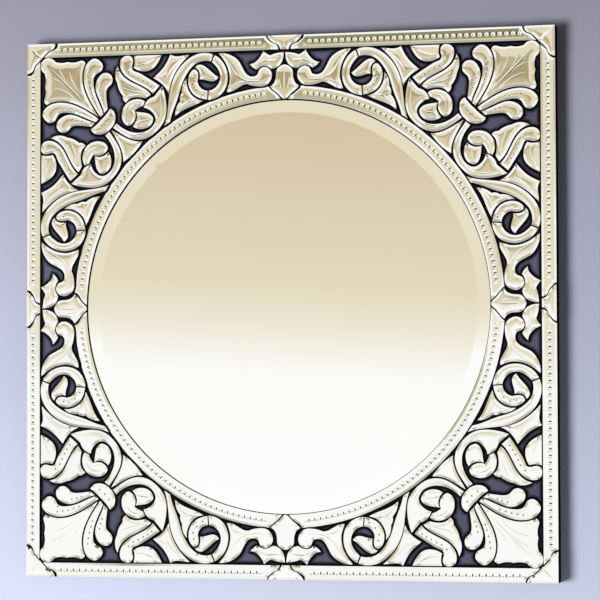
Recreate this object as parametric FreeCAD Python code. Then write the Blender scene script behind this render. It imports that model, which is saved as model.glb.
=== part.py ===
import FreeCAD, Part
import math
import os

# Square wall mirror: a round bevelled mirror in a frame of separately cut pieces of mirror glass,
# each with a ground edge, glued to a black board that wooden rails stiffen from behind.
# Millimetres. X runs to the viewer's right, Y from the viewer to the wall, Z up.
# The origin is the middle of the back, in the plane of the wall.

Vector = FreeCAD.Vector
to_the_right = Vector(1, 0, 0)
to_the_wall = Vector(0, 1, 0)
from_the_wall = Vector(0, -1, 0)

# Overall
side = 900.0
glass_thickness = 5.0
panel_thickness = 10.0
rail_thickness = 18.0
joint_gap = 2.0
joint_slide_share = 0.8
overrun = 1.0

# Border along the outer edge, ring around the round mirror, and the scrollwork's least room between them
border_width = 23.5
ring_width = 22.5
scroll_room = 60.5
mirror_bevel_width = 20.0
mirror_bevel_depth = 2.0

# Ground edge of every piece of the frame, no wider than a share of the piece's mean width
bevel_width = 2.4
bevel_depth = 1.6
bevel_limit_share = 0.2

# Rails behind the board. The drop is from the top rail to the middle of the rail that carries the hangers.
rail_width = 50.0
hanging_rail_width = 60.0
hanging_rail_thickness = 10.0
hanging_rail_drop = 170.0

# Countersunk wood screws that hold the rails to the board
screw_radius = 1.75
screw_head_radius = 3.75
screw_head_depth = 2.5
screw_bite = 7.0
screw_clearance = 0.1

# Strap hangers: a rolled strap, its ring and two round-headed screws. The inset is from the stiles.
hanger_inset = 100.0
hanger_rise = 16.0
strap_width = 14.0
strap_length = 44.0
strap_thickness = 1.2
ring_wire_radius = 1.5
ring_wire_clearance = 0.1
ring_rest_gap = 0.6
ring_bar_half_length = 8.0
ring_corner_radius = 3.0
ring_leg_length = 3.0
strap_screw_first_drop = 25.0
strap_screw_pitch = 12.0
strap_screw_radius = 1.5
strap_screw_head_radius = 3.2
strap_screw_head_height = 1.8
strap_screw_bite = 8.0

# Worked out from the sizes above
half = side / 2
field_half = half - border_width
ring_outer_radius = field_half - scroll_room
ring_inner_radius = ring_outer_radius - ring_width
mirror_radius = ring_inner_radius - joint_gap
joint_slide = joint_slide_share * joint_gap
panel_back_y = -rail_thickness
glass_back_y = panel_back_y - panel_thickness
glass_front_y = glass_back_y - glass_thickness
rail_inner = half - rail_width
hanging_rail_height = rail_inner - hanging_rail_drop
hanger_offset = rail_inner - hanger_inset
quarter_turn = 90

# Outlines of the scrollwork in the upper right eighth, as shares of half the side, drawn for a ring and a
# border at the two shares below. Each row is a smooth run that ends at the first point of the next row.
drawn_ring_share = 0.8133
drawn_field_share = 0.9478

mid_leaf_shares = [
    [(0.003, 0.937), (0.022, 0.935), (0.038, 0.932)],
    [(0.054, 0.926), (0.066, 0.932)],
    [(0.081, 0.944), (0.087, 0.930), (0.097, 0.916), (0.111, 0.903)],
    [(0.133, 0.897), (0.121, 0.885)],
    [(0.106, 0.876), (0.094, 0.884), (0.080, 0.888), (0.066, 0.886)],
    [(0.049, 0.877), (0.031, 0.881), (0.014, 0.895), (0.006, 0.912)],
]
bulb_leaf_shares = [
    [(0.221, 0.796), (0.193, 0.801), (0.169, 0.815)],
    [(0.141, 0.823), (0.124, 0.817), (0.098, 0.813), (0.072, 0.816), (0.054, 0.833), (0.048, 0.856),
     (0.057, 0.875), (0.077, 0.884), (0.096, 0.873), (0.103, 0.857), (0.119, 0.850), (0.140, 0.856),
     (0.157, 0.878), (0.174, 0.909), (0.204, 0.932)],
    [(0.251, 0.941), (0.234, 0.920), (0.218, 0.892), (0.210, 0.864), (0.209, 0.836), (0.214, 0.816)],
]
scroll_arc_shares = [
    [(0.267, 0.935), (0.242, 0.916), (0.225, 0.889), (0.217, 0.858), (0.219, 0.829), (0.230, 0.802),
     (0.250, 0.782)],
    [(0.292, 0.769)],
    [(0.289, 0.803), (0.266, 0.812), (0.249, 0.833), (0.245, 0.860), (0.257, 0.888)],
    [(0.277, 0.910)],
]
scroll_tail_shares = [
    [(0.296, 0.770), (0.324, 0.777), (0.350, 0.794), (0.365, 0.820), (0.368, 0.849), (0.359, 0.873)],
    [(0.347, 0.884), (0.335, 0.878), (0.330, 0.860)],
    [(0.333, 0.840), (0.323, 0.817)],
    [(0.294, 0.803)],
]
scroll_tip_shares = [
    [(0.252, 0.853), (0.276, 0.870), (0.296, 0.888), (0.322, 0.901)],
    [(0.343, 0.890), (0.328, 0.880), (0.323, 0.862)],
    [(0.324, 0.846), (0.303, 0.844), (0.280, 0.838)],
]
scroll_stem_shares = [
    [(0.272, 0.937), (0.308, 0.944), (0.346, 0.936), (0.378, 0.916), (0.412, 0.877), (0.436, 0.822),
     (0.445, 0.762), (0.452, 0.707)],
    [(0.461, 0.677)],
    [(0.439, 0.692), (0.426, 0.736), (0.409, 0.780), (0.396, 0.824), (0.372, 0.872), (0.342, 0.904),
     (0.309, 0.915)],
    [(0.282, 0.912)],
]
scroll_wedge_shares = [
    [(0.312, 0.767), (0.343, 0.778), (0.366, 0.804)],
    [(0.375, 0.851), (0.390, 0.826)],
    [(0.393, 0.798), (0.400, 0.781)],
    [(0.399, 0.767), (0.414, 0.743)],
    [(0.419, 0.712), (0.389, 0.733), (0.350, 0.749)],
]
stem_leaf_shares = [
    [(0.364, 0.939), (0.389, 0.937), (0.412, 0.935)],
    [(0.437, 0.944), (0.448, 0.920), (0.463, 0.896), (0.480, 0.878)],
    [(0.504, 0.857), (0.474, 0.838), (0.457, 0.820)],
    [(0.444, 0.796), (0.435, 0.839), (0.416, 0.880), (0.392, 0.912)],
]
edge_leaf_shares = [
    [(0.472, 0.943)],
    [(0.580, 0.943), (0.576, 0.923)],
    [(0.580, 0.898), (0.560, 0.888), (0.538, 0.884), (0.513, 0.889), (0.491, 0.908)],
]
hooked_strip_shares = [
    [(0.480, 0.828), (0.527, 0.859), (0.569, 0.882), (0.584, 0.890), (0.587, 0.902), (0.583, 0.922),
     (0.590, 0.940), (0.608, 0.944), (0.628, 0.933), (0.633, 0.909), (0.621, 0.879), (0.594, 0.855),
     (0.550, 0.832)],
    [(0.505, 0.799)],
]
bell_leaf_shares = [
    [(0.513, 0.796), (0.552, 0.826), (0.599, 0.850), (0.626, 0.873)],
    [(0.642, 0.908), (0.652, 0.876)],
    [(0.644, 0.842), (0.635, 0.813)],
    [(0.622, 0.794), (0.620, 0.779)],
    [(0.610, 0.769), (0.590, 0.785), (0.564, 0.788)],
    [(0.534, 0.783)],
]
curl_shares = [
    [(0.537, 0.771), (0.561, 0.780), (0.589, 0.776), (0.614, 0.758), (0.626, 0.727), (0.619, 0.694)],
    [(0.599, 0.681), (0.580, 0.696), (0.573, 0.717)],
    [(0.577, 0.738), (0.561, 0.748)],
    [(0.544, 0.755)],
]
curl_leaf_shares = [
    [(0.504, 0.706), (0.517, 0.721), (0.542, 0.729)],
    [(0.572, 0.733), (0.567, 0.712), (0.572, 0.695)],
    [(0.584, 0.679), (0.552, 0.668), (0.521, 0.676)],
]
crescent_shares = [
    [(0.469, 0.825), (0.490, 0.800)],
    [(0.501, 0.787), (0.525, 0.775)],
    [(0.541, 0.747), (0.510, 0.732), (0.495, 0.704), (0.509, 0.674), (0.547, 0.655), (0.591, 0.658)],
    [(0.647, 0.692)],
    [(0.660, 0.675), (0.622, 0.649), (0.573, 0.629), (0.533, 0.632), (0.492, 0.657), (0.461, 0.698),
     (0.453, 0.744)],
]
long_plume_shares = [
    [(0.699, 0.729), (0.724, 0.787), (0.738, 0.840), (0.730, 0.877), (0.708, 0.891), (0.701, 0.909),
     (0.712, 0.928), (0.733, 0.938), (0.756, 0.927), (0.772, 0.900), (0.775, 0.853), (0.754, 0.788)],
    [(0.710, 0.717)],
]
short_plume_shares = [
    [(0.682, 0.747), (0.688, 0.796), (0.683, 0.825), (0.666, 0.843), (0.664, 0.864), (0.677, 0.880),
     (0.697, 0.882), (0.716, 0.868), (0.729, 0.835), (0.720, 0.795)],
    [(0.696, 0.732)],
]

# Halves of the pieces that are symmetric, from one end of the line of symmetry to the other
keystone_top_shares = [
    [(0.000, 0.891), (0.018, 0.884), (0.030, 0.870), (0.032, 0.852), (0.036, 0.831)],
]
corner_leaf_shares = [
    [(0.719, 0.719), (0.756, 0.779), (0.779, 0.838), (0.781, 0.887)],
    [(0.770, 0.921), (0.777, 0.930)],
    [(0.791, 0.931), (0.816, 0.926)],
    [(0.840, 0.929), (0.864, 0.926)],
    [(0.889, 0.931), (0.901, 0.942), (0.918, 0.946)],
    [(0.937, 0.937)],
]
corner_band_shares = [
    [(0.707, 0.707), (0.688, 0.726)],
    [(0.672, 0.748), (0.656, 0.733), (0.652, 0.710)],
    [(0.672, 0.672)],
]
corner_wedge_shares = [
    [(0.667, 0.667), (0.623, 0.642), (0.580, 0.624)],
    [(0.546, 0.621)],
]
wedge_foot_share = 0.579

# Curved joints: along the piece and across it, as shares of the border's or the ring's width
mid_joint_shares = [
    (0.36, 0), (0.43, 0.19), (0.55, 0.35), (0.81, 0.455), (1.06, 0.64), (1.23, 0.81), (1.32, 1),
]
corner_joint_shares = [
    (1.20, 0), (1.45, 0.255), (1.66, 0.43), (1.94, 0.545), (2.13, 0.745), (2.21, 1),
]
ring_joint_shares = [(0.20, 0), (0.27, 0.10), (0.48, 0.34), (0.81, 0.62), (1.17, 1)]

# Screw places along a rail, as shares of its length from its middle
long_rail_screw_shares = [-0.46, 0, 0.46]
short_rail_screw_shares = [-0.36, 0.36]


def stretched(x_share, z_share):
    """Drawn point of the scrollwork, moved along its ray to the same place between ring and border."""
    reach = math.hypot(x_share, z_share)
    slant = reach / max(x_share, z_share)
    drawn_room = drawn_field_share * slant - drawn_ring_share
    room = field_half * slant - ring_outer_radius
    radius = ring_outer_radius + room * (reach - drawn_ring_share) / drawn_room
    return Vector(x_share, 0, z_share) * (radius / reach)


def closed_runs(rows):
    """Runs of points from rows of shares, each ending where the next one starts."""
    placed = [[stretched(*point) for point in row] for row in rows]
    return [row + [following[0]] for row, following in zip(placed, placed[1:] + placed[:1])]


def open_runs(rows, last):
    """As closed_runs, but the last row ends at the given point."""
    placed = [[stretched(*point) for point in row] for row in rows]
    return [row + [following[0]] for row, following in zip(placed, placed[1:] + [[last]])]


def across_upright(point):
    return Vector(-point.x, 0, point.z)


def across_diagonal(point):
    return Vector(point.z, 0, point.x)


def with_reflection(runs, reflect):
    """Half an outline, followed by its mirror image run backwards."""
    return runs + [[reflect(point) for point in reversed(run)] for run in reversed(runs)]


def curve_through(points):
    """Line through two points, arc through three, smooth curve through more."""
    if len(points) == 2:
        return Part.LineSegment(*points)
    if len(points) == 3:
        return Part.Arc(*points)
    curve = Part.BSplineCurve()
    curve.interpolate(points)
    return curve


def part_way(curve, share):
    return curve.FirstParameter + (curve.LastParameter - curve.FirstParameter) * share


def inset_curve(curve, count, distance):
    """Curve beside another one, at a distance to the left of its direction."""
    points = []
    for step in range(count):
        place = part_way(curve, step / (count - 1))
        along = curve.tangent(place)[0]
        points.append(curve.value(place) + Vector(-along.z, 0, along.x) * distance)
    return curve_through(points)


def inset_corner(before, after, inset_before, inset_after, distance):
    """Corner of the inset outline, with its place on the inset before it and on the one after it."""
    out = before.tangent(before.LastParameter)[0]
    on = after.tangent(after.FirstParameter)[0]
    if (out.x * on.z - out.z * on.x) * distance > 0:
        end_half = inset_before.toShape(part_way(inset_before, 0.5), inset_before.LastParameter)
        start_half = inset_after.toShape(inset_after.FirstParameter, part_way(inset_after, 0.5))
        point = end_half.distToShape(start_half)[1][0][0]
        return point, inset_before.parameter(point), inset_after.parameter(point)
    mitre = (out - on).normalize() * (distance / math.cos(out.getAngle(on) / 2))
    point = before.value(before.LastParameter) + mitre * math.copysign(1, distance)
    return point, inset_before.LastParameter, inset_after.FirstParameter


def inset_outline(curves, counts, distance):
    """Closed outline inside another one, with every curve trimmed at the corners."""
    insets = [inset_curve(curve, count, distance) for curve, count in zip(curves, counts)]
    corners = []
    for index, curve in enumerate(curves):
        following = (index + 1) % len(curves)
        corners.append(inset_corner(curve, curves[following], insets[index], insets[following], distance))
    trimmed = []
    for index, (inset, count) in enumerate(zip(insets, counts)):
        start, _, first = corners[index - 1]
        end, last, _ = corners[index]
        middle = [inset.value(first + (last - first) * step / (count - 1)) for step in range(1, count - 1)]
        trimmed.append(curve_through([start] + middle + [end]))
    return trimmed


def at_depth(curve, y):
    return curve.toShape().translated(to_the_wall * y)


def glass_plate(runs):
    """Piece of mirror glass with the outline of the runs and a ground front edge."""
    corners = [point for run in runs for point in run[:-1]]
    doubled_area = sum(p.x * q.z - q.x * p.z for p, q in zip(corners, corners[1:] + corners[:1]))
    curves = [curve_through(run) for run in runs]
    counts = [len(run) if len(run) < 4 else 2 * len(run) for run in runs]
    outline = Part.Face(Part.Wire([curve.toShape() for curve in curves]))
    width = min(bevel_width, bevel_limit_share * 2 * outline.Area / outline.Length)
    insets = inset_outline(curves, counts, math.copysign(width, doubled_area))
    shoulder_y = glass_front_y + bevel_depth
    faces = []
    for curve, inset in zip(curves, insets):
        shoulder = at_depth(curve, shoulder_y)
        faces.append(Part.makeRuledSurface(at_depth(curve, glass_back_y), shoulder))
        faces.append(Part.makeRuledSurface(shoulder, at_depth(inset, glass_front_y)))
    faces.append(Part.Face(Part.Wire([at_depth(curve, glass_back_y) for curve in curves])))
    faces.append(Part.Face(Part.Wire([at_depth(inset, glass_front_y) for inset in insets])))
    shell = Part.makeShell(faces)
    shell.sewShape()
    solid = Part.makeSolid(shell)
    if solid.Volume < 0:
        solid.reverse()
    return solid


def fourfold(solid):
    """The piece in all four quarters."""
    return [solid.rotated(Vector(), to_the_wall, quarter * quarter_turn) for quarter in range(4)]


def eightfold(solid):
    """The piece and its mirror image, in all four quarters."""
    return fourfold(solid) + fourfold(solid.mirror(Vector(), to_the_right))


def save(name, solids):
    Part.makeCompound(solids).exportStep(os.path.join("parts", name + ".step"))


def block(x_from, x_to, y_from, y_to, z_from, z_to):
    return Part.makeBox(x_to - x_from, y_to - y_from, z_to - z_from, Vector(x_from, y_from, z_from))


# Round mirror, with a wide bevel on its front edge

def round_mirror():
    flat_radius = mirror_radius - mirror_bevel_width
    profile = [
        Vector(0, glass_back_y, 0),
        Vector(mirror_radius, glass_back_y, 0),
        Vector(mirror_radius, glass_front_y + mirror_bevel_depth, 0),
        Vector(flat_radius, glass_front_y, 0),
        Vector(0, glass_front_y, 0),
    ]
    section = Part.Face(Part.makePolygon(profile + profile[:1]))
    return section.revolve(Vector(), to_the_wall, 4 * quarter_turn)


# Ring around the mirror: four strips between four keystones

def ring_joint(shift):
    """Curved joint from the ring's inner edge to its outer edge, moved sideways."""
    points = []
    for along_share, across_share in ring_joint_shares:
        x = along_share * ring_width + shift
        radius = ring_inner_radius + across_share * ring_width
        points.append(Vector(x, 0, math.sqrt(radius ** 2 - x ** 2)))
    return points


def on_diagonal(radius):
    return Vector(radius, 0, radius) * math.sqrt(0.5)


def ring_arc():
    joint = ring_joint(joint_slide)
    far_joint = [across_diagonal(point) for point in joint]
    outer_edge = [joint[-1], on_diagonal(ring_outer_radius), far_joint[-1]]
    inner_edge = [far_joint[0], on_diagonal(ring_inner_radius), joint[0]]
    return glass_plate([joint, outer_edge, list(reversed(far_joint)), inner_edge])


def ring_keystone():
    joint = ring_joint(-joint_slide)
    joint[0] = Vector(0, 0, ring_inner_radius)
    upper_side = open_runs(keystone_top_shares, joint[-1])
    return glass_plate(with_reflection(upper_side + [list(reversed(joint))], across_upright))


# Border along the outer edge: straight strips between middle pieces and corner pieces

def mid_joint(shift):
    """Curved joint beside a side's middle piece, from the inner edge to the outer edge."""
    return [Vector(along * border_width + shift, 0, field_half + across * border_width)
            for along, across in mid_joint_shares]


def corner_joint(shift):
    """Curved joint beside a corner piece, from the inner edge to the outer edge."""
    return [Vector(half - along * border_width + shift, 0, field_half + across * border_width)
            for along, across in corner_joint_shares]


def border_strip():
    near = list(reversed(mid_joint(joint_slide)))
    far = corner_joint(-joint_slide)
    return glass_plate([near, [near[-1], far[0]], far, [far[-1], near[0]]])


def border_mid():
    joint = mid_joint(-joint_slide)
    far_joint = [across_upright(point) for point in reversed(joint)]
    return glass_plate([joint, [joint[-1], far_joint[0]], far_joint, [far_joint[-1], joint[0]]])


def border_corner():
    joint = list(reversed(corner_joint(joint_slide)))
    far_joint = [across_diagonal(point) for point in reversed(joint)]
    corner = Vector(half, 0, half)
    inner_edge = [joint[-1], far_joint[0]]
    return glass_plate([joint, inner_edge, far_joint, [far_joint[-1], corner], [corner, joint[0]]])


# Scrollwork pieces that lie across a diagonal

def diagonal_piece(rows):
    """Piece from half an outline whose last row holds only the point where the other half starts."""
    half_outline = open_runs(rows[:-1], stretched(*rows[-1][0]))
    return glass_plate(with_reflection(half_outline, across_diagonal))


def corner_wedge():
    tip = stretched(*corner_wedge_shares[-1][0])
    side_run = open_runs(corner_wedge_shares[:-1], tip)[0]
    sides = with_reflection([list(reversed(side_run))], across_diagonal)
    foot = [across_diagonal(tip), stretched(wedge_foot_share, wedge_foot_share), tip]
    return glass_plate(sides + [foot])


# Board and rails, with the screws that join them

def rail_places():
    """Box of each rail, as ranges of X and Z, with its depth and the shares where its screws go."""
    inner = rail_inner
    hang_from = hanging_rail_height - hanging_rail_width / 2
    hang_to = hanging_rail_height + hanging_rail_width / 2
    middle = rail_width / 2
    return {
        "top_rail": (-half, half, inner, half, rail_thickness, long_rail_screw_shares),
        "bottom_rail": (-half, half, -half, -inner, rail_thickness, long_rail_screw_shares),
        "left_stile": (-half, -inner, -inner, inner, rail_thickness, short_rail_screw_shares),
        "right_stile": (inner, half, -inner, inner, rail_thickness, short_rail_screw_shares),
        "centre_rail": (-inner, inner, -middle, middle, rail_thickness, long_rail_screw_shares),
        "hanging_rail": (-inner, inner, hang_from, hang_to, hanging_rail_thickness, long_rail_screw_shares),
    }


def screw_points(x_from, x_to, z_from, z_to, depth, shares):
    """Middle of each screw head, on the back of the rail."""
    centre = Vector((x_from + x_to) / 2, panel_back_y + depth, (z_from + z_to) / 2)
    lengthwise = Vector(x_to - x_from, 0, 0)
    if z_to - z_from > x_to - x_from:
        lengthwise = Vector(0, 0, z_to - z_from)
    return [centre + lengthwise * share for share in shares]


def screw_body(point, depth, play):
    """Countersunk screw, or with some play the hole for it, from the head's face to the tip."""
    shank_radius = screw_radius + play
    shank = Part.makeCylinder(shank_radius, depth + screw_bite + play, point, from_the_wall)
    head = Part.makeCone(screw_head_radius + play, shank_radius, screw_head_depth, point, from_the_wall)
    return shank.fuse(head).removeSplitter()


# Hangers: a strap rolled round the bar of a ring that swings

hanging_back_y = panel_back_y + hanging_rail_thickness
hanger_axis_y = hanging_back_y + strap_thickness + ring_rest_gap + ring_wire_radius
hanger_axis_z = hanging_rail_height + hanger_rise


def strap_screw_points(x):
    first = hanger_axis_z - strap_screw_first_drop
    return [Vector(x, hanging_back_y, first - strap_screw_pitch * count) for count in range(2)]


def strap_screw_hole(point):
    """Hole for a round-headed screw, through the strap and into the rail."""
    hole_radius = strap_screw_radius + screw_clearance
    hole_length = strap_screw_bite + screw_clearance + strap_thickness + overrun
    start = point + to_the_wall * (strap_thickness + overrun)
    return Part.makeCylinder(hole_radius, hole_length, start, from_the_wall)


def strap_screw(point):
    """Screw with a domed head that rests on the strap."""
    radius = strap_screw_head_radius
    height = strap_screw_head_height
    head_from = point + to_the_wall * strap_thickness
    shank_length = strap_screw_bite + strap_thickness
    shank = Part.makeCylinder(strap_screw_radius, shank_length, head_from, from_the_wall)
    dome_radius = (radius ** 2 + height ** 2) / (2 * height)
    dome = Part.makeSphere(dome_radius, head_from + to_the_wall * (height - dome_radius))
    head_room = Part.makeCylinder(radius, height, head_from, to_the_wall)
    return shank.fuse(head_room.common(dome)).removeSplitter()


def hanger_strap(x):
    bore_radius = ring_wire_radius + ring_wire_clearance
    left = x - strap_width / 2
    axis_start = Vector(left, hanger_axis_y, hanger_axis_z)
    plate = block(left, left + strap_width, hanging_back_y, hanging_back_y + strap_thickness,
                  hanger_axis_z - strap_length, hanger_axis_z)
    roll = Part.makeCylinder(bore_radius + strap_thickness, strap_width, axis_start, to_the_right)
    bore = Part.makeCylinder(bore_radius, strap_width, axis_start, to_the_right)
    strap = plate.fuse(roll).removeSplitter().cut(bore)
    for point in strap_screw_points(x):
        strap = strap.cut(strap_screw_hole(point))
    return strap


def hanger_ring(x):
    """Wire ring with a straight bar at the top, hanging from the bar."""
    centre = Vector(x, hanger_axis_y, hanger_axis_z)
    down = Vector(0, 0, -1)
    bow_radius = ring_bar_half_length + ring_corner_radius
    bar_end = centre + to_the_right * ring_bar_half_length
    section = Part.Face(Part.Wire(Part.makeCircle(ring_wire_radius, bar_end, to_the_right)))
    corner_axis = bar_end + down * ring_corner_radius
    corner = section.revolve(corner_axis, to_the_wall, quarter_turn)
    leg_start = corner_axis + to_the_right * ring_corner_radius
    leg = Part.makeCylinder(ring_wire_radius, ring_leg_length, leg_start, down)
    bow_centre = centre + down * (ring_corner_radius + ring_leg_length)
    bow_start = bow_centre + to_the_right * bow_radius
    bow_section = Part.Face(Part.Wire(Part.makeCircle(ring_wire_radius, bow_start, down)))
    bow = bow_section.revolve(bow_centre, to_the_wall, quarter_turn)
    bar = Part.makeCylinder(ring_wire_radius, ring_bar_half_length, centre, to_the_right)
    right_half = bar.fuse([corner, leg, bow])
    return right_half.fuse(right_half.mirror(centre, to_the_right)).removeSplitter()


os.makedirs("parts", exist_ok=True)

eighths = {
    "mid_leaves": mid_leaf_shares,
    "bulb_leaves": bulb_leaf_shares,
    "scroll_arcs": scroll_arc_shares,
    "scroll_tails": scroll_tail_shares,
    "scroll_tips": scroll_tip_shares,
    "scroll_stems": scroll_stem_shares,
    "scroll_wedges": scroll_wedge_shares,
    "stem_leaves": stem_leaf_shares,
    "edge_leaves": edge_leaf_shares,
    "hooked_strips": hooked_strip_shares,
    "bell_leaves": bell_leaf_shares,
    "curls": curl_shares,
    "curl_leaves": curl_leaf_shares,
    "crescents": crescent_shares,
    "long_plumes": long_plume_shares,
    "short_plumes": short_plume_shares,
}
for name, rows in eighths.items():
    save(name, eightfold(glass_plate(closed_runs(rows))))

save("corner_leaves", fourfold(diagonal_piece(corner_leaf_shares)))
save("corner_bands", fourfold(diagonal_piece(corner_band_shares)))
save("corner_wedges", fourfold(corner_wedge()))
save("ring_arcs", fourfold(ring_arc()))
save("ring_keystones", fourfold(ring_keystone()))
save("border_strips", eightfold(border_strip()))
save("border_mids", fourfold(border_mid()))
save("border_corners", fourfold(border_corner()))
save("mirror_disc", [round_mirror()])

back_panel = block(-half, half, glass_back_y, panel_back_y, -half, half)
rails = {}
rail_screws = []
for name, (x_from, x_to, z_from, z_to, depth, shares) in rail_places().items():
    rail = block(x_from, x_to, panel_back_y, panel_back_y + depth, z_from, z_to)
    for point in screw_points(x_from, x_to, z_from, z_to, depth, shares):
        hole = screw_body(point, depth, screw_clearance)
        rail = rail.cut(hole)
        back_panel = back_panel.cut(hole)
        rail_screws.append(screw_body(point, depth, 0))
    rails[name] = rail

hanger_screws = []
for hanger_side, hanger_x in (("left", -hanger_offset), ("right", hanger_offset)):
    save("hanger_strap_" + hanger_side, [hanger_strap(hanger_x)])
    save("hanger_ring_" + hanger_side, [hanger_ring(hanger_x)])
    for point in strap_screw_points(hanger_x):
        rails["hanging_rail"] = rails["hanging_rail"].cut(strap_screw_hole(point))
        hanger_screws.append(strap_screw(point))

for name, rail in rails.items():
    save(name, [rail])
save("back_panel", [back_panel])
save("rail_screws", rail_screws)
save("hanger_screws", hanger_screws)
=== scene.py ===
import bpy
import numpy as np
from mathutils import Matrix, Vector
from mathutils.geometry import delaunay_2d_cdt


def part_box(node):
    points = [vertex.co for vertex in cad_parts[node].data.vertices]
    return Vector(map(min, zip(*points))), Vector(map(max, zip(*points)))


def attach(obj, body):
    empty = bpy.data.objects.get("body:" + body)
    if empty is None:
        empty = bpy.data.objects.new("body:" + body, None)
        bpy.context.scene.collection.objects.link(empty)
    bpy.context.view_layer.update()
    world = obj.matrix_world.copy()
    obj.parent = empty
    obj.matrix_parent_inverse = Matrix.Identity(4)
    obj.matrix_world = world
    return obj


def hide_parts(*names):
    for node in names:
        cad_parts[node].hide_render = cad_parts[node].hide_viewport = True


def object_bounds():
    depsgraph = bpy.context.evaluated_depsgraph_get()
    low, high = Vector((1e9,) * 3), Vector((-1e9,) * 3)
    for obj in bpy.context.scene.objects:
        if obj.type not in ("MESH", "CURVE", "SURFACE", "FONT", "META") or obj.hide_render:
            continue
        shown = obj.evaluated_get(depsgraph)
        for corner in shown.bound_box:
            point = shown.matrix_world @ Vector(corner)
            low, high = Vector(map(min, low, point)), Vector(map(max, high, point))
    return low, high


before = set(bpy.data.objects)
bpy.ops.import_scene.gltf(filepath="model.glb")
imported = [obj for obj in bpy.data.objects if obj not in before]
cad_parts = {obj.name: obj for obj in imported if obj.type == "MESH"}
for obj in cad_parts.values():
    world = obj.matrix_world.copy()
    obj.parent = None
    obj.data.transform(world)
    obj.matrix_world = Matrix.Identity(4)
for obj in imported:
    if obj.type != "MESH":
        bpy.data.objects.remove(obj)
cad_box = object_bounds()
mm = 0.001


# The back board: a 10 mm board with a sprayed coat of violet black lacquer on its front.
# All the glass is glued to that face, which shows as the dark ground between the pieces.
# The sawn edges are blackened, and the back is left bare.

def fill(socket, value):
    """Links an input to another node's output, or gives it a plain value."""
    if isinstance(value, bpy.types.NodeSocket):
        socket.id_data.links.new(value, socket)
    else:
        socket.default_value = value


def set_inputs(node, **named):
    """Fills a node's inputs by name, with an underscore for each space in the name."""
    for name, value in named.items():
        fill(node.inputs[name.replace("_", " ")], value)


def shader_node(tree, kind, *values, settings=None, **named):
    """One shader node. Values fill its inputs in order, and named values by name."""
    node = tree.nodes.new("ShaderNode" + kind)
    for name, value in (settings or {}).items():
        setattr(node, name, value)
    for socket, value in zip(node.inputs, values):
        fill(socket, value)
    set_inputs(node, **named)
    return node


def colour_ramp(tree, factor, *stops):
    """Colour that follows a number from 0 to 1 through stops of (place, colour)."""
    node = shader_node(tree, "ValToRGB", factor)
    elements = node.color_ramp.elements
    elements[0].position = stops[0][0]
    elements[1].position = stops[-1][0]
    for place, _ in stops[1:-1]:
        elements.new(place)
    for element, (_, colour) in zip(elements, stops):
        element.color = (*colour, 1)
    return node.outputs["Color"]


def number_range(tree, value, low, high, to_low, to_high):
    """A number carried from one range to another, held at the ends."""
    return shader_node(tree, "MapRange", value, low, high, to_low, to_high).outputs["Result"]


def noise(tree, place, scale, detail=2.0, stretch=(1, 1, 1)):
    """Noise in the piece's own coordinates, drawn out by the stretch."""
    where = shader_node(tree, "Mapping", place, Scale=stretch).outputs["Vector"]
    return shader_node(tree, "TexNoise", Vector=where, Scale=scale, Detail=detail).outputs["Fac"]


def mottled(tree, place, scale, detail, dark, light):
    """Colour that wanders from a dark to a light tone with noise of that scale and detail."""
    return colour_ramp(tree, noise(tree, place, scale, detail), (0.3, dark), (0.7, light))


def mixed_colour(tree, share, first, second):
    """First colour at a share of 0, second at 1."""
    node = shader_node(tree, "Mix", share, settings={"data_type": "RGBA"})
    for socket, colour in zip((node.inputs[6], node.inputs[7]), (first, second)):
        fill(socket, colour if isinstance(colour, bpy.types.NodeSocket) else (*colour, 1))
    return node.outputs[2]


def towards_wall(tree):
    """How squarely a face looks to the wall: 1 on the back, 0 on the sides and -1 on the front."""
    normal = shader_node(tree, "TexCoord").outputs["Normal"]
    return shader_node(tree, "SeparateXYZ", normal).outputs["Y"]


def new_finish(name):
    """A material with its tree, its surface shader and the piece's own coordinates."""
    material = bpy.data.materials.new(name)
    material.use_nodes = True
    tree = material.node_tree
    place = shader_node(tree, "TexCoord").outputs["Object"]
    return material, tree, tree.nodes["Principled BSDF"], place


def violet_coat(tree, place):
    """Colour of the lacquer: near black violet, clouded a little."""
    return mottled(tree, place, 7, 2, (0.085, 0.085, 0.130), (0.140, 0.140, 0.210))


def black_lacquer():
    """Lacquer on the front, with the fine orange peel of a sprayed coat.

    The way a face looks tells the sides apart: sawn edges are flat black, and the back is bare dark board.
    """
    material, tree, shader, place = new_finish("black_lacquer")
    sawn = mottled(tree, place, 90, 4, (0.002, 0.002, 0.003), (0.006, 0.006, 0.007))
    bare = mottled(tree, place, 40, 8, (0.012, 0.011, 0.010), (0.036, 0.031, 0.027))
    facing = towards_wall(tree)
    sides = mixed_colour(tree, number_range(tree, facing, 0.5, 0.9, 0, 1), sawn, bare)
    not_front = number_range(tree, facing, -0.9, -0.5, 0, 1)
    tint = mixed_colour(tree, not_front, violet_coat(tree, place), sides)
    dust = number_range(tree, noise(tree, place, 60, 4), 0.35, 0.75, 0.16, 0.26)
    peel = shader_node(tree, "Bump", Height=noise(tree, place, 500), Strength=0.1, Distance=0.2 * mm)
    set_inputs(shader, Base_Color=tint, Roughness=dust, Normal=peel.outputs["Normal"],
               Specular_IOR_Level=0.0)
    return material


def dress(node, material):
    """Gives a CAD piece its finish."""
    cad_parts[node].data.materials.clear()
    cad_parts[node].data.materials.append(material)


dress("back_panel", black_lacquer())


# The rails behind the board: planed softwood stained black, screwed to the board from the back.
# Top, bottom, centre and hanging rails run across, and the two stiles stand between them.

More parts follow.
